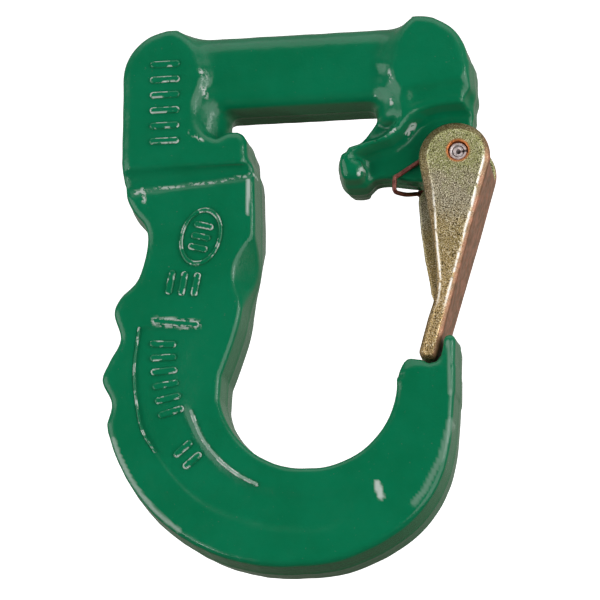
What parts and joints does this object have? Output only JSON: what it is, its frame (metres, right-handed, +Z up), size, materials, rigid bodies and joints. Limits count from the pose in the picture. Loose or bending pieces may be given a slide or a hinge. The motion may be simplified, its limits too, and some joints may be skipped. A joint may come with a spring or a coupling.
{
  "type": "web sling hook",
  "caption": "Forged web-sling hook: wide horizontal sling bar, side slot for the sling's eye, deep bowl and a spring-loaded safety latch that closes onto the nose.",
  "frame": {"origin": "middle of the sling bar's underside, where a sling's eye bears", "axes": "+Z up along the line of pull, +X from the shank towards the latch, -Y the front face, +Y the back"},
  "size_m": [0.1093, 0.026, 0.1568],
  "materials": {
    "enamel": "glossy green enamel",
    "chromate": "yellow chromate on zinc",
    "spring_steel": "brown oxide",
    "pin_steel": "worn bare steel"
  },
  "bodies": {
    "hook": {"hook_body": "enamel", "latch_spring": "spring_steel", "outer_spring_pin": "pin_steel", "inner_spring_pin": "pin_steel"},
    "latch": {"latch": "chromate"}
  },
  "joints": [
    {"name": "latch_pivot", "type": "hinge", "parent": "hook", "child": "latch", "pos_m": [0.0444, 0, -0.017], "axis": [0, 1, 0], "range_deg": [0, 48], "stiffness_Nm_per_rad": 0.12, "springref_deg": -40.11, "deforming": ["latch_spring"]}
  ]
}
